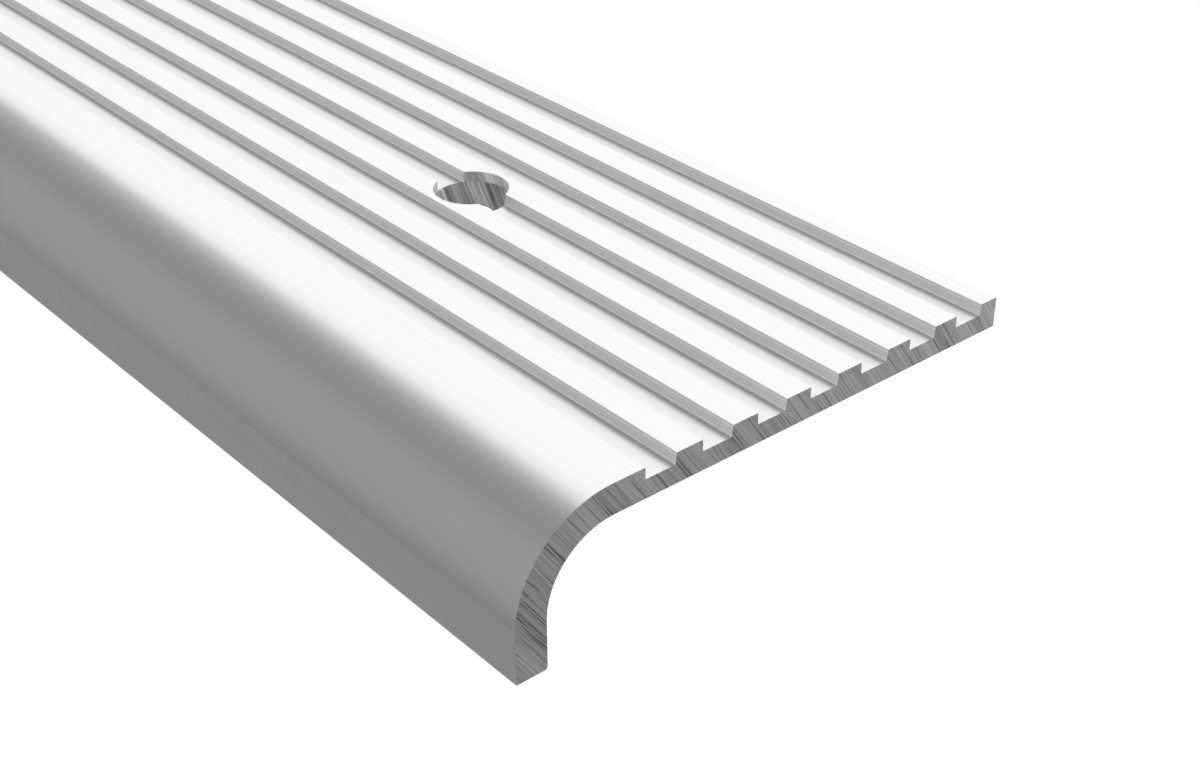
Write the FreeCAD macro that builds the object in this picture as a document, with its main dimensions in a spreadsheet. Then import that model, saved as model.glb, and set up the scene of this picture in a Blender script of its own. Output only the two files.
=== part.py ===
import FreeCAD, Part
import math
import os
import Sketcher

# Fluted stair nosing: one extruded aluminium strip, sawn to length, with countersunk screw holes.
# Millimetres. X runs along the edge of the step, Y towards the back of the tread, Z up.
# The origin is on the underside, on the line of screws, halfway along the strip.

SIZES = {
    "length": 914.4,              # sawn length along the step
    "plate_thickness": 3.75,      # underside to the tops of the lands
    "leg_thickness": 3.95,        # front leg, front face to inner face
    "leg_drop": 14.8,             # underside of the plate down to the bottom of the leg
    "leg_corner_radius": 0.35,    # inner lower corner of the leg
    "nose_radius": 12.4,          # outside of the bend between plate and leg
    "bend_radius": 8.7,           # inside of the same bend
    "nose_land": 16.65,           # front face to the mouth of the first groove
    "back_land": 2.65,            # mouth of the last groove to the back edge
    "groove_count": 7,
    "groove_pitch": 7.75,
    "groove_width": 4.2,          # across the mouth
    "groove_depth": 1.4,
    "groove_front_draft": 1.0,    # degrees from upright, the wall nearer the nose
    "groove_back_draft": 7.0,     # degrees from upright, the wall nearer the back edge
    "groove_floor_radius": 0.1,   # where a wall meets the floor
    "screw_count": 4,
    "screw_end_distance": 61.65,  # sawn end to the nearest screw
    "screw_head_diameter": 9.6,   # head clearance and mouth of the countersink
    "screw_shank_diameter": 5.5,
    "countersink_angle": 90.0,    # degrees, full angle of the cone
}

# Distances from the line of screws to the groove mouths at the front and back of the field of grooves.
HALF_FIELD = "((Sizes.groove_count - 1) / 2 * Sizes.groove_pitch + Sizes.groove_width / 2)"
FRONT_DISTANCE = f"{HALF_FIELD} + Sizes.nose_land"
BACK_DISTANCE = f"{HALF_FIELD} + Sizes.back_land"

HORIZONTAL_AXIS = -1
ORIGIN_POINT = (-1, 1)
START = 1
END = 2


def make_sheet(doc):
    """Put the driving sizes in a sheet, one named cell each."""
    sheet = doc.addObject("Spreadsheet::Sheet", "Sizes")
    for row, (name, value) in enumerate(SIZES.items(), start=1):
        sheet.set(f"A{row}", name)
        sheet.set(f"B{row}", str(value))
        sheet.setAlias(f"B{row}", name)
    doc.recompute()
    return sheet


def origin_feature(body, role):
    """One of the body's own origin planes or axes."""
    return next(item for item in body.Origin.OriginFeatures if item.Role == role)


def new_sketch(body, name, plane_role, height="0"):
    """An empty sketch on an origin plane, raised along the plane's normal."""
    sketch = body.newObject("Sketcher::SketchObject", name)
    sketch.AttachmentSupport = [(origin_feature(body, plane_role), "")]
    sketch.MapMode = "FlatFace"
    sketch.setExpression("AttachmentOffset.Base.z", height)
    return sketch


def relate(sketch, kind, *references):
    """Add a constraint that holds no number."""
    sketch.addConstraint(Sketcher.Constraint(kind, *references))


def dimension(sketch, name, expression, kind, *references):
    """Add a named dimension that follows an expression."""
    index = sketch.addConstraint(Sketcher.Constraint(kind, *references))
    sketch.renameConstraint(index, name)
    sketch.setExpression(f"Constraints.{name}", expression)


def line(x0, y0, x1, y1):
    return Part.LineSegment(FreeCAD.Vector(x0, y0, 0), FreeCAD.Vector(x1, y1, 0))


def arc(x, y, radius, first_degrees, last_degrees):
    circle = Part.Circle(FreeCAD.Vector(x, y, 0), FreeCAD.Vector(0, 0, 1), radius)
    return Part.ArcOfCircle(circle, math.radians(first_degrees), math.radians(last_degrees))


def sketch_section(body):
    """Section of the bare strip: flat plate, rounded nose and short front leg."""
    size = SIZES
    half_field = (size["groove_count"] - 1) / 2 * size["groove_pitch"] + size["groove_width"] / 2
    front = -half_field - size["nose_land"]
    back = half_field + size["back_land"]
    top = size["plate_thickness"]
    bottom = -size["leg_drop"]
    outer = size["nose_radius"]
    inner = size["bend_radius"]
    inside = front + size["leg_thickness"]

    sketch = new_sketch(body, "section", "YZ_Plane")
    leg_bottom = sketch.addGeometry(line(front, bottom, inside, bottom))
    leg_inside = sketch.addGeometry(line(inside, bottom, inside, -inner))
    inner_bend = sketch.addGeometry(arc(inside + inner, -inner, inner, 90, 180))
    underside = sketch.addGeometry(line(inside + inner, 0, back, 0))
    back_edge = sketch.addGeometry(line(back, 0, back, top))
    tread_top = sketch.addGeometry(line(back, top, front + outer, top))
    outer_bend = sketch.addGeometry(arc(front + outer, top - outer, outer, 90, 180))
    front_face = sketch.addGeometry(line(front, top - outer, front, bottom))

    relate(sketch, "Coincident", leg_bottom, END, leg_inside, START)
    relate(sketch, "Tangent", leg_inside, END, inner_bend, END)
    relate(sketch, "Tangent", inner_bend, START, underside, START)
    relate(sketch, "Coincident", underside, END, back_edge, START)
    relate(sketch, "Coincident", back_edge, END, tread_top, START)
    relate(sketch, "Tangent", tread_top, END, outer_bend, START)
    relate(sketch, "Tangent", outer_bend, END, front_face, START)
    relate(sketch, "Coincident", front_face, END, leg_bottom, START)
    for flat in (leg_bottom, underside, tread_top):
        relate(sketch, "Horizontal", flat)
    for upright in (leg_inside, back_edge, front_face):
        relate(sketch, "Vertical", upright)
    relate(sketch, "PointOnObject", underside, START, HORIZONTAL_AXIS)

    dimension(sketch, "plate", "Sizes.plate_thickness",
              "DistanceY", back_edge, START, back_edge, END, top)
    dimension(sketch, "leg", "Sizes.leg_thickness",
              "DistanceX", leg_bottom, START, leg_bottom, END, size["leg_thickness"])
    dimension(sketch, "drop", "Sizes.leg_drop",
              "DistanceY", leg_bottom, START, *ORIGIN_POINT, -bottom)
    dimension(sketch, "nose", "Sizes.nose_radius", "Radius", outer_bend, outer)
    dimension(sketch, "bend", "Sizes.bend_radius", "Radius", inner_bend, inner)
    dimension(sketch, "front", FRONT_DISTANCE,
              "DistanceX", leg_bottom, START, *ORIGIN_POINT, -front)
    dimension(sketch, "back", BACK_DISTANCE,
              "DistanceX", *ORIGIN_POINT, back_edge, START, back)
    return sketch


def bed_reach(draft):
    """Distance from a groove's centre line to the end of its flat floor, below a wall of this draft."""
    corner_length = SIZES["groove_floor_radius"] * math.tan((math.pi / 2 - draft) / 2)
    return SIZES["groove_width"] / 2 - SIZES["groove_depth"] * math.tan(draft) - corner_length


def sketch_groove(body):
    """Section of the first groove: upright front wall, drafted back wall, rounded floor corners."""
    size = SIZES
    centre = -(size["groove_count"] - 1) / 2 * size["groove_pitch"]
    half_mouth = size["groove_width"] / 2
    top = size["plate_thickness"]
    floor = top - size["groove_depth"]
    radius = size["groove_floor_radius"]
    front_draft = math.radians(size["groove_front_draft"])
    back_draft = math.radians(size["groove_back_draft"])
    front_end = centre - bed_reach(front_draft)
    back_end = centre + bed_reach(back_draft)
    front_foot = (front_end - radius * math.cos(front_draft), floor + radius - radius * math.sin(front_draft))
    back_foot = (back_end + radius * math.cos(back_draft), floor + radius - radius * math.sin(back_draft))

    sketch = new_sketch(body, "groove_section", "YZ_Plane")
    bed = sketch.addGeometry(line(front_end, floor, back_end, floor))
    back_corner = sketch.addGeometry(
        arc(back_end, floor + radius, radius, 270, 360 - size["groove_back_draft"]))
    back_wall = sketch.addGeometry(line(*back_foot, centre + half_mouth, top))
    mouth = sketch.addGeometry(line(centre + half_mouth, top, centre - half_mouth, top))
    front_wall = sketch.addGeometry(line(centre - half_mouth, top, *front_foot))
    front_corner = sketch.addGeometry(
        arc(front_end, floor + radius, radius, 180 + size["groove_front_draft"], 270))

    relate(sketch, "Tangent", bed, END, back_corner, START)
    relate(sketch, "Tangent", back_corner, END, back_wall, START)
    relate(sketch, "Coincident", back_wall, END, mouth, START)
    relate(sketch, "Coincident", mouth, END, front_wall, START)
    relate(sketch, "Tangent", front_wall, END, front_corner, START)
    relate(sketch, "Tangent", front_corner, END, bed, START)
    relate(sketch, "Horizontal", bed)
    relate(sketch, "Horizontal", mouth)
    relate(sketch, "Equal", back_corner, front_corner)

    dimension(sketch, "radius", "Sizes.groove_floor_radius", "Radius", back_corner, radius)
    dimension(sketch, "width", "Sizes.groove_width",
              "DistanceX", mouth, END, mouth, START, size["groove_width"])
    dimension(sketch, "depth", "Sizes.groove_depth",
              "DistanceY", bed, END, mouth, START, size["groove_depth"])
    dimension(sketch, "land", "Sizes.plate_thickness",
              "DistanceY", *ORIGIN_POINT, mouth, START, top)
    dimension(sketch, "back_draft", "90 - Sizes.groove_back_draft",
              "Angle", bed, START, back_wall, START, math.pi / 2 - back_draft)
    dimension(sketch, "front_draft", "90 - Sizes.groove_front_draft",
              "Angle", front_wall, END, bed, END, math.pi / 2 - front_draft)
    dimension(sketch, "mouth_front", HALF_FIELD,
              "DistanceX", mouth, END, *ORIGIN_POINT, half_mouth - centre)
    return sketch


def sketch_screw(body, name, height, diameter):
    """One circle on the line of screws, at the first screw from the left end."""
    first_screw = SIZES["length"] / 2 - SIZES["screw_end_distance"]
    sketch = new_sketch(body, name, "XY_Plane", height)
    centre = FreeCAD.Vector(-first_screw, 0, 0)
    circle = sketch.addGeometry(Part.Circle(centre, FreeCAD.Vector(0, 0, 1), SIZES[diameter] / 2))
    relate(sketch, "PointOnObject", circle, 3, HORIZONTAL_AXIS)
    dimension(sketch, "along", "Sizes.length / 2 - Sizes.screw_end_distance",
              "DistanceX", circle, 3, *ORIGIN_POINT, first_screw)
    dimension(sketch, "bore", f"Sizes.{diameter}", "Diameter", circle, SIZES[diameter])
    return sketch


def leg_corner_edge(shape):
    """Name of the long edge at the inner lower corner of the leg."""
    inside = max(vertex.Y for vertex in shape.Vertexes if abs(vertex.Z - shape.BoundBox.ZMin) < 1e-6)
    for number, edge in enumerate(shape.Edges, start=1):
        low = edge.BoundBox
        if abs(low.ZMax - shape.BoundBox.ZMin) < 1e-6 and abs(low.YMin - inside) < 1e-6:
            return f"Edge{number}"
    raise RuntimeError("the leg has no inner lower corner")


def pattern(doc, body, name, features, axis_role, reach, count):
    """Repeat features along an axis; reach is the distance from the first to the last."""
    row = body.newObject("PartDesign::LinearPattern", name)
    row.Originals = features
    row.Direction = (origin_feature(body, axis_role), [""])
    row.setExpression("Length", reach)
    row.setExpression("Occurrences", count)
    body.Tip = row
    doc.recompute()
    return row


def build_nosing(doc):
    body = doc.addObject("PartDesign::Body", "stair_nosing")
    body.Label = "stair_nosing"

    strip = body.newObject("PartDesign::Pad", "strip")
    strip.Profile = sketch_section(body)
    strip.Midplane = True
    strip.setExpression("Length", "Sizes.length")
    doc.recompute()

    rounding = body.newObject("PartDesign::Fillet", "leg_corner")
    rounding.Base = (strip, [leg_corner_edge(strip.Shape)])
    rounding.setExpression("Radius", "Sizes.leg_corner_radius")
    doc.recompute()

    groove = body.newObject("PartDesign::Pocket", "groove")
    groove.Profile = sketch_groove(body)
    groove.Midplane = True
    groove.setExpression("Length", "Sizes.length")
    doc.recompute()
    pattern(doc, body, "grooves", [groove], "Y_Axis",
            "(Sizes.groove_count - 1) * Sizes.groove_pitch", "Sizes.groove_count")

    head = body.newObject("PartDesign::Pocket", "head_clearance")
    head.Profile = sketch_screw(body, "head_circle", "Sizes.plate_thickness", "screw_head_diameter")
    head.setExpression("Length", "Sizes.groove_depth")
    doc.recompute()

    shank = body.newObject("PartDesign::Hole", "countersunk_hole")
    shank.Profile = sketch_screw(body, "shank_circle", "Sizes.plate_thickness - Sizes.groove_depth",
                                 "screw_shank_diameter")
    doc.recompute()
    shank.DepthType = "ThroughAll"
    shank.DrillPoint = "Flat"
    shank.HoleCutType = "Countersink"
    shank.HoleCutCustomValues = True
    shank.setExpression("Diameter", "Sizes.screw_shank_diameter")
    shank.setExpression("HoleCutDiameter", "Sizes.screw_head_diameter")
    shank.setExpression("HoleCutCountersinkAngle", "Sizes.countersink_angle")
    doc.recompute()
    pattern(doc, body, "screw_holes", [head, shank], "X_Axis",
            "Sizes.length - 2 * Sizes.screw_end_distance", "Sizes.screw_count")
    return body


def check(doc, body):
    """Stop if any feature failed or cut nothing, or if the strip is not one sound solid."""
    for item in doc.Objects:
        if "Invalid" in item.State or "Error" in item.State:
            raise RuntimeError(f"{item.Label} failed: {item.State}")
    shape = body.Shape
    if shape.isNull() or not shape.isValid() or len(shape.Solids) != 1:
        raise RuntimeError(f"{body.Label} is not one sound solid")
    features = [item for item in body.Group if item.isDerivedFrom("PartDesign::Feature")]
    for earlier, later in zip(features, features[1:]):
        if later.Shape.Volume >= earlier.Shape.Volume:
            raise RuntimeError(f"{later.Label} takes nothing away")


document = FreeCAD.newDocument("stair_nosing")
make_sheet(document)
nosing = build_nosing(document)
check(document, nosing)
os.makedirs("parts", exist_ok=True)
nosing.Shape.exportStep(f"parts/{nosing.Label}.step")
print(nosing.Label, nosing.Shape.BoundBox, f"{nosing.Shape.Volume:.1f} mm3")
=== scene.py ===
import bmesh
import bpy
import math
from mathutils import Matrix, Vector


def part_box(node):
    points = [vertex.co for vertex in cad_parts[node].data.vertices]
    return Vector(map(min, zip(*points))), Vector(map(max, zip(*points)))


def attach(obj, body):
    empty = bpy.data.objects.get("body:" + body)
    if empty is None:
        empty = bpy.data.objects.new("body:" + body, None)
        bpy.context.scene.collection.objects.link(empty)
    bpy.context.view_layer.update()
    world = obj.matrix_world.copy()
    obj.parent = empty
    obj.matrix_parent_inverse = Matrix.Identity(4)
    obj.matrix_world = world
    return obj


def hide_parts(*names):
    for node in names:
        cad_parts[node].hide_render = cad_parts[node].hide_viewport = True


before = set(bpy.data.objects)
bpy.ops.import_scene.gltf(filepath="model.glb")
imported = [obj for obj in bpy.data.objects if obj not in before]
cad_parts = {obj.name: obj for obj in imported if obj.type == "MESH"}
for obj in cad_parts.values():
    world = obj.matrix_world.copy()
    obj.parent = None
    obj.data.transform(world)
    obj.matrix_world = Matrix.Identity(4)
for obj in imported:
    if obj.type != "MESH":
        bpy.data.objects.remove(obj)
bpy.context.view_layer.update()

MM = 0.001

# Sizes of the strip. The frame gives the outside, the rest repeats the part's own section.
LOW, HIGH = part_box("stair_nosing")
LENGTH = HIGH.x - LOW.x
PLATE = HIGH.z
LEG = 3.95 * MM
LEG_CORNER = 0.35 * MM
NOSE_RADIUS = 12.4 * MM
BEND_RADIUS = 8.7 * MM
GROOVE_COUNT = 7
GROOVE_PITCH = 7.75 * MM
GROOVE_WIDTH = 4.2 * MM
GROOVE_DEPTH = 1.4 * MM
GROOVE_FRONT_DRAFT = math.radians(1)
GROOVE_BACK_DRAFT = math.radians(7)
GROOVE_FLOOR_RADIUS = 0.1 * MM
SCREW_COUNT = 4
SCREW_END_DISTANCE = 61.65 * MM
SCREW_HEAD_RADIUS = 4.8 * MM
SCREW_SHANK_RADIUS = 2.75 * MM
COUNTERSINK_DEPTH = SCREW_HEAD_RADIUS - SCREW_SHANK_RADIUS

# How finely the strip is modelled
NOSE_STEPS = 48
BEND_STEPS = 36
SMALL_STEPS = 4
HOLE_SIDES = 96
EDGE_BREAK = 0.02 * MM
EDGE_STEPS = 3
CUT_MARGIN = 3 * MM

# Limits that tell one face or edge from another
NEAR = 1e-5
FACING = 0.99
END_FACING = 0.5
FLAT_ANGLE = math.radians(1)
SMOOTH_ANGLE = math.radians(25)
SHARP_ANGLE = math.radians(50)

# Order of the finishes on the strip before the screw holes are cut
SKIN, GROOVE_SIDE, GROOVE_FLOOR, SAWN_END = range(4)


# Modelling helpers


def deselect():
    bpy.ops.object.select_all(action="DESELECT")


def active():
    return bpy.context.view_layer.objects.active


def select_only(piece):
    deselect()
    piece.select_set(True)
    bpy.context.view_layer.objects.active = piece


def pick(kind, test):
    """In edit mode, select the faces or edges that pass a test and nothing else."""
    bpy.ops.mesh.select_mode(type=kind)
    bpy.ops.mesh.select_all(action="DESELECT")
    mesh = bmesh.from_edit_mesh(active().data)
    for item in mesh.faces if kind == "FACE" else mesh.edges:
        if test(item):
            item.select_set(True)
    bmesh.update_edit_mesh(active().data)


def lies_at(y=None, z=None):
    """Test for an edge along the strip that lies at a place in the section."""
    def test(edge):
        a, b = (vertex.co for vertex in edge.verts)
        along = abs(a.x - b.x) > LENGTH / 2
        there_y = y is None or (abs(a.y - y) < NEAR and abs(b.y - y) < NEAR)
        there_z = z is None or (abs(a.z - z) < NEAR and abs(b.z - z) < NEAR)
        return along and there_y and there_z
    return test


def sharp_on_top(edge):
    """Test for a sharp outer edge that runs along the top of the strip."""
    return lies_at(z=PLATE)(edge) and edge.is_convex and edge.calc_face_angle(0) > SHARP_ANGLE


def faces_down(face):
    return face.normal.z < -FACING


def add_box(name, low, high):
    """A box between two corners, left active with its place in its mesh."""
    deselect()
    size = Vector(high) - Vector(low)
    bpy.ops.mesh.primitive_cube_add(size=1, location=(Vector(low) + Vector(high)) / 2, scale=size)
    active().name = name
    bpy.ops.object.transform_apply(location=True, rotation=True, scale=True)
    return active()


def apply_modifier(piece, kind, **settings):
    """Add a modifier, set it and apply it."""
    select_only(piece)
    modifier = piece.modifiers.new(kind.title(), kind)
    for name, value in settings.items():
        setattr(modifier, name, value)
    bpy.ops.object.modifier_apply(modifier=modifier.name)


def repeat(piece, count, step):
    """Copies of a piece in a row, as one mesh."""
    apply_modifier(piece, "ARRAY", count=count, use_relative_offset=False,
                   use_constant_offset=True, constant_offset_displace=step)


def cut_away(piece, cutter):
    """Take a cutter out of a piece, with the cutter's material on the cut."""
    apply_modifier(piece, "BOOLEAN", object=cutter, operation="DIFFERENCE", solver="EXACT",
                   material_mode="TRANSFER")
    bpy.data.objects.remove(cutter)


# The strip


def model_blank():
    """The bare angle: plate, front leg and the two arcs of the nose."""
    inside = LOW.y + LEG
    blank = add_box("nosing_strip", (LOW.x, LOW.y, 0), (HIGH.x, HIGH.y, PLATE))
    bpy.ops.object.mode_set(mode="EDIT")
    bpy.ops.mesh.select_all(action="SELECT")
    bpy.ops.mesh.bisect(plane_co=(0, inside, 0), plane_no=(0, 1, 0))
    pick("FACE", lambda face: faces_down(face) and face.calc_center_median().y < inside)
    bpy.ops.mesh.extrude_region_move(TRANSFORM_OT_translate={"value": (0, 0, LOW.z)})
    bpy.ops.mesh.select_all(action="SELECT")
    bpy.ops.mesh.dissolve_limited(angle_limit=FLAT_ANGLE)
    pick("EDGE", lies_at(LOW.y, PLATE))
    bpy.ops.mesh.bevel(offset=NOSE_RADIUS, segments=NOSE_STEPS, affect="EDGES")
    pick("EDGE", lies_at(inside, 0))
    bpy.ops.mesh.bevel(offset=BEND_RADIUS, segments=BEND_STEPS, affect="EDGES")
    pick("EDGE", lies_at(inside, LOW.z))
    bpy.ops.mesh.bevel(offset=LEG_CORNER, segments=SMALL_STEPS, affect="EDGES")
    bpy.ops.object.mode_set(mode="OBJECT")
    return blank


def model_groove_cutter():
    """Bars with a nearly upright front, a leaning back and rounded lower edges, one for each groove."""
    first = -(GROOVE_COUNT - 1) / 2 * GROOVE_PITCH
    floor = PLATE - GROOVE_DEPTH
    top = PLATE + CUT_MARGIN
    front = first - GROOVE_WIDTH / 2 - CUT_MARGIN * math.tan(GROOVE_FRONT_DRAFT)
    back = first + GROOVE_WIDTH / 2 + CUT_MARGIN * math.tan(GROOVE_BACK_DRAFT)
    cutter = add_box("groove_cutter", (LOW.x - CUT_MARGIN, front, floor), (HIGH.x + CUT_MARGIN, back, top))
    bpy.ops.object.mode_set(mode="EDIT")
    pick("EDGE", lies_at(front, floor))
    bpy.ops.transform.translate(value=(0, (top - floor) * math.tan(GROOVE_FRONT_DRAFT), 0))
    pick("EDGE", lies_at(back, floor))
    bpy.ops.transform.translate(value=(0, -(top - floor) * math.tan(GROOVE_BACK_DRAFT), 0))
    pick("EDGE", lies_at(z=floor))
    bpy.ops.mesh.bevel(offset=GROOVE_FLOOR_RADIUS, segments=SMALL_STEPS, affect="EDGES")
    bpy.ops.object.mode_set(mode="OBJECT")
    repeat(cutter, GROOVE_COUNT, (0, GROOVE_PITCH, 0))
    return cutter


def model_hole_cutter(bored, drilled):
    """Head clearance, countersink cone and shank, drawn out as one and repeated along the strip."""
    first = LOW.x + SCREW_END_DISTANCE
    spacing = (LENGTH - 2 * SCREW_END_DISTANCE) / (SCREW_COUNT - 1)
    shrink = SCREW_SHANK_RADIUS / SCREW_HEAD_RADIUS
    floor = PLATE - GROOVE_DEPTH
    top = PLATE + CUT_MARGIN
    deselect()
    bpy.ops.mesh.primitive_cylinder_add(vertices=HOLE_SIDES, radius=SCREW_HEAD_RADIUS, depth=top - floor,
                                        location=(first, 0, (top + floor) / 2))
    cutter = active()
    cutter.name = "hole_cutter"
    bpy.ops.object.transform_apply(location=True, rotation=True, scale=True)
    bpy.ops.object.mode_set(mode="EDIT")
    pick("FACE", faces_down)
    bpy.ops.mesh.extrude_region_move(TRANSFORM_OT_translate={"value": (0, 0, -COUNTERSINK_DEPTH)})
    bpy.ops.transform.resize(value=(shrink, shrink, 1),
                             center_override=(first, 0, floor - COUNTERSINK_DEPTH))
    bpy.ops.mesh.extrude_region_move(TRANSFORM_OT_translate={"value": (0, 0, -CUT_MARGIN)})
    bpy.ops.object.mode_set(mode="OBJECT")
    repeat(cutter, SCREW_COUNT, (spacing, 0, 0))
    cutter.data.materials.append(bored)
    cutter.data.materials.append(drilled)
    for face in cutter.data.polygons:
        face.material_index = 0 if face.center.z > floor + NEAR else 1
    return cutter


def break_long_edges(strip):
    """Take the sharpness off the edges that run along the top of the strip."""
    select_only(strip)
    bpy.ops.object.mode_set(mode="EDIT")
    pick("EDGE", sharp_on_top)
    bpy.ops.mesh.bevel(offset=EDGE_BREAK, segments=EDGE_STEPS, affect="EDGES")
    bpy.ops.object.mode_set(mode="OBJECT")


def finish_of(face):
    """Which finish a face has before the screw holes are cut."""
    height = face.center.z - (PLATE - GROOVE_DEPTH)
    in_grooves = abs(face.center.y) < GROOVE_COUNT * GROOVE_PITCH / 2
    if abs(face.normal.x) > END_FACING:
        return SAWN_END
    if in_grooves and abs(height) < NEAR:
        return GROOVE_FLOOR
    if in_grooves and 0 < height < GROOVE_DEPTH - EDGE_BREAK:
        return GROOVE_SIDE
    return SKIN


def model_strip(finishes, bored, drilled):
    """The whole strip: the bare angle, grooved, its edges broken, then drilled."""
    strip = model_blank()
    cut_away(strip, model_groove_cutter())
    break_long_edges(strip)
    strip.data.materials.clear()
    for place in sorted(finishes):
        strip.data.materials.append(finishes[place])
    for face in strip.data.polygons:
        face.material_index = finish_of(face)
    cut_away(strip, model_hole_cutter(bored, drilled))
    select_only(strip)
    bpy.ops.object.shade_smooth_by_angle(angle=SMOOTH_ANGLE)
    apply_modifier(strip, "WEIGHTED_NORMAL", keep_sharp=True)
    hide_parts("stair_nosing")
    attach(strip, "root")
    return strip


# Finishes

# The noise behind every mark: how fine it is, its middle, and the range most of it stays in
NOISE_DETAIL = 3
NOISE_ROUGHNESS = 0.6
NOISE_MIDDLE = 0.5
NOISE_LOW = 0.3
NOISE_HIGH = 0.7

# Extruded skin: marks drawn along the strip by the die
DIE_LINE = (600 * MM, 0.7 * MM, 0.7 * MM)
FINE_DIE_LINE = (300 * MM, 0.2 * MM, 0.2 * MM)
DIE_LINE_BUMP = 0.1
DIE_LINE_HEIGHT = 0.02 * MM
SKIN_SPREAD = Vector((0.01, 0.01, 0.01))
SKIN_ROUGHNESS_SPREAD = 0.03
SKIN_LESS_RED = 0.013
SKIN_MORE_BLUE = 0.01

# Painted light up a groove's side, from foot to top: a painted highlight line above the foot, one below the
# top, and the lower side painted paler against its shade
GROOVE_SIDE_PAINTED_LIGHT = [(0.03, 0.83), (0.07, 0.98), (0.13, 0.98), (0.18, 0.785), (0.45, 0.7),
                     (0.68, 0.67), (0.73, 0.79), (0.8, 0.79), (0.85, 0.66), (1, 0.65)]

# Painted shadow across a groove's floor, from its middle to the foot of the back side, deepening the shadow
# the light casts there
GROOVE_FLOOR_PAINTED_SHADOW = [(0.42, 1), (0.54, 0.87), (0.74, 0.51), (0.84, 0.4), (1, 0.36)]

# Cut metal: broad bands, deep scores and fine grain, all long and straight; in the screw holes the broad
# bands also paint shade and light
SAW_TURN = (math.radians(35), 0, 0)
DRILL_TURN = (0, math.radians(-18.5), math.radians(61.2))
BAND_WIDTH = 2.5 * MM
BAND_LENGTH = 100 * MM
BAND_RANGE = (0.35, 0.65)
SCORE_LENGTH = 50 * MM
SCORE_CORE = 0.012
SCORE_EDGE = 0.024
SCORE_CORE_SHARE = 0.7
SCORE_BUMP = 0.3
SCORE_HEIGHT = 0.03 * MM
GATHER_RANGE = (0.42, 0.6)
GATHER_LEAST = 0.35
GRAIN_LENGTH = 20 * MM
CUT_TINT = Vector((0.98, 1, 1))
CUT_ROUGHNESS_SPREAD = 0.07


def build_streaks():
    """Node group: long straight marks. Size is a mark's size in metres, Turn is how it lies, Shift moves it.

    Marks is a soft light and dark pattern, Cuts falls to 0 along thin lines.
    """
    group = bpy.data.node_groups.new("Streaks", "ShaderNodeTree")
    for name in ("Size", "Turn", "Shift"):
        group.interface.new_socket(name, in_out="INPUT", socket_type="NodeSocketVector")
    for name in ("Marks", "Cuts"):
        group.interface.new_socket(name, in_out="OUTPUT", socket_type="NodeSocketFloat")
    nodes = group.nodes
    inputs = nodes.new("NodeGroupInput")
    outputs = nodes.new("NodeGroupOutput")
    place = nodes.new("ShaderNodeTexCoord")
    mapping = nodes.new("ShaderNodeMapping")
    mapping.vector_type = "TEXTURE"
    noise = nodes.new("ShaderNodeTexNoise")
    noise.inputs["Scale"].default_value = 1
    noise.inputs["Detail"].default_value = NOISE_DETAIL
    noise.inputs["Roughness"].default_value = NOISE_ROUGHNESS
    middle = nodes.new("ShaderNodeMath")
    middle.operation = "SUBTRACT"
    middle.inputs[1].default_value = NOISE_MIDDLE
    fold = nodes.new("ShaderNodeMath")
    fold.operation = "ABSOLUTE"
    link = group.links.new
    link(place.outputs["Object"], mapping.inputs["Vector"])
    link(inputs.outputs["Turn"], mapping.inputs["Rotation"])
    link(inputs.outputs["Shift"], mapping.inputs["Location"])
    link(inputs.outputs["Size"], mapping.inputs["Scale"])
    link(mapping.outputs["Vector"], noise.inputs["Vector"])
    link(noise.outputs["Fac"], outputs.inputs["Marks"])
    link(noise.outputs["Fac"], middle.inputs[0])
    link(middle.outputs["Value"], fold.inputs[0])
    link(fold.outputs["Value"], outputs.inputs["Cuts"])
    return group


def new_metal(name, metallic):
    """A material and its shader, with as much bare metal in it as metallic says."""
    material = bpy.data.materials.new(name)
    material.use_nodes = True
    shader = material.node_tree.nodes["Principled BSDF"]
    shader.inputs["Metallic"].default_value = metallic
    return material, shader


def add_streaks(material, size, turn=(0, 0, 0), shift=0.0):
    """The Streaks group in a material, with a mark's size, how it lies and how far it is moved along X."""
    node = material.node_tree.nodes.new("ShaderNodeGroup")
    node.node_tree = STREAKS
    node.inputs["Size"].default_value = size
    node.inputs["Turn"].default_value = turn
    node.inputs["Shift"].default_value = (shift, 0, 0)
    return node


def add_ramp(material, value, stops):
    """Colour ramp over a value; stops are (place, grey or colour)."""
    ramp = material.node_tree.nodes.new("ShaderNodeValToRGB")
    elements = ramp.color_ramp.elements
    while len(elements) < len(stops):
        elements.new(1)
    for element, (place, colour) in zip(elements, stops):
        element.position = place
        grey = (colour,) * 3 if isinstance(colour, (int, float)) else colour
        element.color = (*grey, 1)
    material.node_tree.links.new(value, ramp.inputs["Fac"])
    return ramp.outputs["Color"]


def multiply(material, first, second, amount=None):
    """One colour times another, all over or by an amount from 0 to 1."""
    mix = material.node_tree.nodes.new("ShaderNodeMix")
    mix.data_type = "RGBA"
    mix.blend_type = "MULTIPLY"
    mix.inputs["Factor"].default_value = 1
    if amount:
        material.node_tree.links.new(amount, mix.inputs["Factor"])
    material.node_tree.links.new(first, mix.inputs["A"])
    material.node_tree.links.new(second, mix.inputs["B"])
    return mix.outputs["Result"]


def add_bump(material, shader, height, strength, distance):
    """Raise the surface by a height, for fine marks only."""
    bump = material.node_tree.nodes.new("ShaderNodeBump")
    bump.inputs["Strength"].default_value = strength
    bump.inputs["Distance"].default_value = distance
    material.node_tree.links.new(height, bump.inputs["Height"])
    material.node_tree.links.new(bump.outputs["Normal"], shader.inputs["Normal"])


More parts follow.
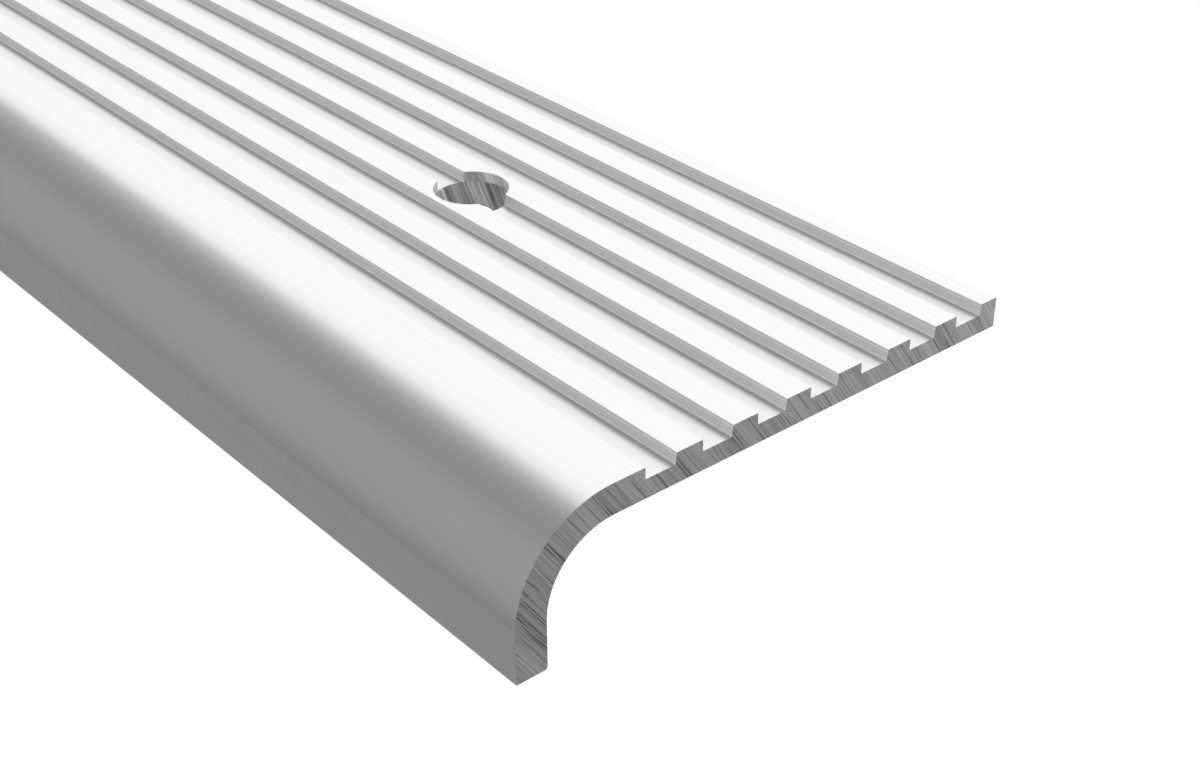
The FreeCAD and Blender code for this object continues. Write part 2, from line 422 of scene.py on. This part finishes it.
def work_out(material, axis, *steps):
    """A place along one axis, taken through steps of arithmetic."""
    nodes = material.node_tree.nodes
    link = material.node_tree.links.new
    place = nodes.new("ShaderNodeTexCoord")
    split = nodes.new("ShaderNodeSeparateXYZ")
    link(place.outputs["Object"], split.inputs["Vector"])
    value = split.outputs[axis]
    for operation, *numbers in steps:
        step = nodes.new("ShaderNodeMath")
        step.operation = operation
        for socket, number in zip(step.inputs[1:], numbers):
            socket.default_value = number
        link(value, step.inputs[0])
        value = step.outputs["Value"]
    return value


def across_groove(material):
    """0 along the middle of each groove's floor, 1 at the foot of its back side, -1 at the front one."""
    front_foot = GROOVE_DEPTH * math.tan(GROOVE_FRONT_DRAFT)
    back_foot = GROOVE_DEPTH * math.tan(GROOVE_BACK_DRAFT)
    half_floor = (GROOVE_WIDTH - front_foot - back_foot) / 2
    return work_out(material, "Y", ("ADD", (back_foot - front_foot) / 2),
                    ("WRAP", GROOVE_PITCH / 2, -GROOVE_PITCH / 2), ("DIVIDE", half_floor))


def up_groove(material):
    """0 at the foot of a groove's side, 1 at its top."""
    return work_out(material, "Z", ("SUBTRACT", PLATE - GROOVE_DEPTH), ("DIVIDE", GROOVE_DEPTH))


def shade(material, place, tones):
    """Multiply a material's colour by painted light and shade that change with a place."""
    shader = material.node_tree.nodes["Principled BSDF"]
    skin = shader.inputs["Base Color"].links[0].from_socket
    tone = add_ramp(material, place, tones)
    material.node_tree.links.new(multiply(material, skin, tone), shader.inputs["Base Color"])


def extruded_aluminium(name, pale, roughness, metallic=1.0):
    """Extruded skin with faint die lines along the strip."""
    material, shader = new_metal(name, metallic)
    link = material.node_tree.links.new
    lines = add_streaks(material, DIE_LINE).outputs["Marks"]
    fine = add_streaks(material, FINE_DIE_LINE).outputs["Marks"]
    cool = Vector((pale - SKIN_LESS_RED, pale, pale + SKIN_MORE_BLUE))
    tone = add_ramp(material, lines, [(NOISE_LOW, cool - SKIN_SPREAD), (NOISE_HIGH, cool + SKIN_SPREAD)])
    sheen = add_ramp(material, lines, [(NOISE_LOW, roughness - SKIN_ROUGHNESS_SPREAD),
                                       (NOISE_HIGH, roughness + SKIN_ROUGHNESS_SPREAD)])
    link(tone, shader.inputs["Base Color"])
    link(sheen, shader.inputs["Roughness"])
    add_bump(material, shader, fine, DIE_LINE_BUMP, DIE_LINE_HEIGHT)
    return material


def satin_aluminium():
    """Extruded skin on all of the strip outside the grooves."""
    return extruded_aluminium("satin_aluminium", pale=0.975, roughness=0.33)


def groove_side_aluminium():
    """Extruded skin on a groove's side, with two painted highlight lines and painted light on its lower part.
    """
    material = extruded_aluminium("groove_side_aluminium", pale=0.96, roughness=0.5, metallic=0.45)
    shade(material, up_groove(material), GROOVE_SIDE_PAINTED_LIGHT)
    return material


def groove_floor_aluminium():
    """Extruded skin on a groove's floor, with a painted shadow deepening the real one along the foot of the
    back side.
    """
    material = extruded_aluminium("groove_floor_aluminium", pale=0.975, roughness=0.33, metallic=0.35)
    shade(material, across_groove(material), GROOVE_FLOOR_PAINTED_SHADOW)
    return material


def slim(width, length, across):
    """Size of a mark that is slim across one axis and long along the others."""
    return [width if axis == across else length for axis in "xyz"]


def scored_aluminium(name, across, turn, grey, roughness, depth, grain, contrast, band_and_shade, shift,
                     metallic=1.0, spacing=0.6 * MM):
    """Cut metal: cool grey in broad bands, scored by thin dark lines among fine ones; in the screw holes the
    broad bands also paint shade and light.

    Depth, contrast and band say how dark the scores, the grain and the bands get. Grain is the
    width of a fine line, spacing how far apart the scores are, and shift moves the whole pattern.
    """
    material, shader = new_metal(name, metallic)
    link = material.node_tree.links.new
    bands = add_streaks(material, slim(BAND_WIDTH, BAND_LENGTH, across), turn, shift).outputs["Marks"]
    cuts = add_streaks(material, slim(spacing, SCORE_LENGTH, across), turn, shift).outputs["Cuts"]
    fine = add_streaks(material, slim(grain, GRAIN_LENGTH, across), turn, shift).outputs["Marks"]
    cool = CUT_TINT * grey
    band_low, band_high = BAND_RANGE
    gather_low, gather_high = GATHER_RANGE
    tone = add_ramp(material, fine, [(NOISE_LOW, cool * (1 - contrast)), (NOISE_HIGH, cool * (1 + contrast))])
    broad = add_ramp(material, bands, [(band_low, 1 - band_and_shade), (band_high, 1)])
    scores = add_ramp(material, cuts,
                      [(0, 1 - depth), (SCORE_CORE, 1 - SCORE_CORE_SHARE * depth), (SCORE_EDGE, 1)])
    gathered = add_ramp(material, bands, [(gather_low, 1), (gather_high, GATHER_LEAST)])
    sheen = add_ramp(material, fine, [(NOISE_LOW, roughness + CUT_ROUGHNESS_SPREAD),
                                      (NOISE_HIGH, roughness - CUT_ROUGHNESS_SPREAD)])
    link(multiply(material, multiply(material, tone, broad), scores, gathered), shader.inputs["Base Color"])
    link(sheen, shader.inputs["Roughness"])
    add_bump(material, shader, cuts, SCORE_BUMP, SCORE_HEIGHT)
    return material


def sawn_aluminium():
    """The sawn ends of the strip."""
    return scored_aluminium("sawn_aluminium", "y", SAW_TURN, grey=0.385, roughness=0.52, depth=0.88,
                            grain=0.16 * MM, contrast=0.15, band_and_shade=0.2, shift=12 * MM, spacing=0.42 * MM)


def bored_aluminium():
    """The upright wall of a screw hole's head clearance, pale and matt as a painted reflection, with its
    broad bands shifted into place as painted shade.
    """
    return scored_aluminium("bored_aluminium", "x", DRILL_TURN, grey=0.94, roughness=0.6, depth=0.3,
                            grain=0.3 * MM, contrast=0.06, band_and_shade=0.7, shift=12 * MM, metallic=0.1)


def drilled_aluminium():
    """The countersink and the shank bore, with its broad bands shifted into place as painted shade and
    painted light.
    """
    return scored_aluminium("drilled_aluminium", "x", DRILL_TURN, grey=0.84, roughness=0.85, depth=0.8,
                            grain=0.3 * MM, contrast=0.36, band_and_shade=0.5, shift=28 * MM)


# The studio

FLOOR_DROP = 200 * MM
FLOOR_HEIGHT = LOW.z - FLOOR_DROP
FLOOR_SIZE = 30.0
FLOOR_COLOUR = 0.8
FLOOR_LIFT = 0.27

# The hood's line in the section, in millimetres from the strip's front and above the floor,
# and a grey for each panel. Its last edge is turned to a slant about a place along the strip.
HOOD_LINE = ((-60, 0), (-260, 0), (-450, 0), (-450, 650), (-210, 1115), (112, 1115))
HOOD_GREYS = (0.197, 0.245, 0.305, 0.235, 0.325)
HOOD_LENGTH = 8.0
HOOD_ABOVE_FLOOR = 1 * MM
HOOD_SLANT = math.radians(11)
HOOD_SLANT_FROM = -450 * MM

END_CARD_GREY = 0.5
END_CARD_SIZE = 1.6
END_CARD_ABOVE_FLOOR = 2 * MM
END_CARD_PLACE = Vector((0.9, -0.6))


def new_stage_material(name):
    """A material with no nodes but its output."""
    material = bpy.data.materials.new(name)
    material.use_nodes = True
    tree = material.node_tree
    tree.nodes.clear()
    return material, tree, tree.nodes.new("ShaderNodeOutputMaterial")


def seen_by_eye_or_gloss(tree):
    """1 for camera, glossy and transmission rays, 0 for the rest."""
    path = tree.nodes.new("ShaderNodeLightPath")
    total = path.outputs["Is Camera Ray"]
    for name in ("Is Glossy Ray", "Is Transmission Ray"):
        step = tree.nodes.new("ShaderNodeMath")
        step.operation = "MAXIMUM"
        tree.links.new(total, step.inputs[0])
        tree.links.new(path.outputs[name], step.inputs[1])
        total = step.outputs["Value"]
    return total


def floor_material():
    """Pale floor, lifted to white where it is seen or mirrored."""
    material, tree, output = new_stage_material("studio_floor")
    diffuse = tree.nodes.new("ShaderNodeBsdfDiffuse")
    diffuse.inputs["Color"].default_value = (FLOOR_COLOUR, FLOOR_COLOUR, FLOOR_COLOUR, 1)
    lift = tree.nodes.new("ShaderNodeEmission")
    amount = tree.nodes.new("ShaderNodeMath")
    amount.operation = "MULTIPLY"
    amount.inputs[1].default_value = FLOOR_LIFT
    both = tree.nodes.new("ShaderNodeAddShader")
    tree.links.new(seen_by_eye_or_gloss(tree), amount.inputs[0])
    tree.links.new(amount.outputs["Value"], lift.inputs["Strength"])
    tree.links.new(diffuse.outputs["BSDF"], both.inputs[0])
    tree.links.new(lift.outputs["Emission"], both.inputs[1])
    tree.links.new(both.outputs["Shader"], output.inputs["Surface"])
    return material


def card_material(name, grey):
    """An even grey for a card that only the metal mirrors."""
    material, tree, output = new_stage_material(name)
    glow = tree.nodes.new("ShaderNodeEmission")
    glow.inputs["Color"].default_value = (grey, grey, grey, 1)
    tree.links.new(glow.outputs["Emission"], output.inputs["Surface"])
    return material


def show_in_gloss_only(card):
    """Hide a card from everything but reflections."""
    card.visible_camera = False
    card.visible_diffuse = False
    card.visible_transmission = False
    card.visible_shadow = False


def set_floor():
    """Wide floor below the strip."""
    deselect()
    bpy.ops.mesh.primitive_plane_add(size=FLOOR_SIZE, location=(0, 0, FLOOR_HEIGHT))
    floor = active()
    floor.name = "studio_floor"
    floor.data.materials.append(floor_material())


def set_front_hood():
    """Grey card on the floor in front that turns up and over the nose, seen only in the metal."""
    ground = FLOOR_HEIGHT + HOOD_ABOVE_FLOOR
    points = [Vector((0, LOW.y + y * MM, ground + z * MM)) for y, z in HOOD_LINE]
    deselect()
    bpy.ops.mesh.primitive_plane_add(size=1, location=(points[0] + points[1]) / 2)
    hood = active()
    hood.name = "front_hood"
    hood.scale = (HOOD_LENGTH, points[0].y - points[1].y, 1)
    bpy.ops.object.transform_apply(location=True, rotation=True, scale=True)
    bpy.ops.object.mode_set(mode="EDIT")
    pick("EDGE", lambda edge: all(abs(vertex.co.y - points[1].y) < NEAR for vertex in edge.verts))
    for start, stop in zip(points[1:], points[2:]):
        bpy.ops.mesh.extrude_region_move(TRANSFORM_OT_translate={"value": stop - start})
    bpy.ops.transform.rotate(value=HOOD_SLANT, orient_axis="Z",
                             center_override=(HOOD_SLANT_FROM, points[-1].y, points[-1].z))
    bpy.ops.object.mode_set(mode="OBJECT")
    for panel, grey in enumerate(HOOD_GREYS):
        hood.data.materials.append(card_material("hood_grey", grey))
        hood.data.polygons[panel].material_index = panel
    show_in_gloss_only(hood)


def set_end_card():
    """Grey card on the floor beyond the near end, seen only in the metal."""
    place = (HIGH.x + END_CARD_PLACE.x, END_CARD_PLACE.y, FLOOR_HEIGHT + END_CARD_ABOVE_FLOOR)
    deselect()
    bpy.ops.mesh.primitive_plane_add(size=END_CARD_SIZE, location=place)
    card = active()
    card.name = "end_card"
    card.data.materials.append(card_material("end_card_grey", END_CARD_GREY))
    show_in_gloss_only(card)


def set_world():
    """Plain white light from all around."""
    world = bpy.data.worlds.new("studio")
    world.use_nodes = True
    background = world.node_tree.nodes["Background"]
    background.inputs["Color"].default_value = (1, 1, 1, 1)
    background.inputs["Strength"].default_value = 1
    bpy.context.scene.world = world


# The camera, at the photograph's angle

CAMERA_FROM_END = Vector((115.28, -129.65, 108.28)) * MM
CAMERA_AZIMUTH = math.radians(49.508)
CAMERA_ELEVATION = math.radians(31.358)
CAMERA_SENSOR = 36.0
CAMERA_LENS = 57.245
CAMERA_NEAREST = 10 * MM
CAMERA_FARTHEST = 100.0


def set_camera():
    """Camera in front of the near end, looking down at it."""
    camera = bpy.data.objects.new("camera", bpy.data.cameras.new("camera"))
    bpy.context.scene.collection.objects.link(camera)
    camera.data.sensor_width = CAMERA_SENSOR
    camera.data.lens = CAMERA_LENS
    camera.data.clip_start = CAMERA_NEAREST
    camera.data.clip_end = CAMERA_FARTHEST
    camera.location = Vector((HIGH.x, 0, 0)) + CAMERA_FROM_END
    camera.rotation_euler = (math.pi / 2 - CAMERA_ELEVATION, 0, CAMERA_AZIMUTH)
    bpy.context.scene.camera = camera


STREAKS = build_streaks()
STRIP_FINISHES = {SKIN: satin_aluminium(), GROOVE_SIDE: groove_side_aluminium(),
                  GROOVE_FLOOR: groove_floor_aluminium(), SAWN_END: sawn_aluminium()}
model_strip(STRIP_FINISHES, bored_aluminium(), drilled_aluminium())
set_floor()
set_front_hood()
set_end_card()
set_world()
set_camera()
bpy.context.scene.view_settings.view_transform = "Standard"
